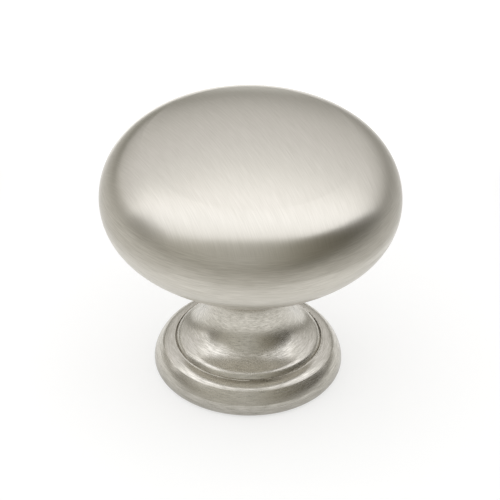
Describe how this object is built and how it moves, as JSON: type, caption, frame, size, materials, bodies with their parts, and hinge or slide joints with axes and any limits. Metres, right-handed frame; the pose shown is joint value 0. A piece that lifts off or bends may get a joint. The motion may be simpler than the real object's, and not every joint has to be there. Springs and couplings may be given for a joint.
{
  "type": "cabinet knob",
  "caption": "Round mushroom-shaped cabinet knob with a domed grip, a narrow neck, a stepped round foot and a tapped hole for a screw from behind.",
  "frame": {"origin": "centre of the mounting face, on the screw's axis", "axes": "+Z along the knob's axis, from the mounting face to the crown of the grip; the knob is round, so +X and +Y are any two directions square to it"},
  "size_m": [0.0318, 0.0318, 0.0299],
  "materials": {
    "satin_nickel": "satin"
  },
  "bodies": {
    "root": {"knob": "satin_nickel"}
  },
  "joints": []
}
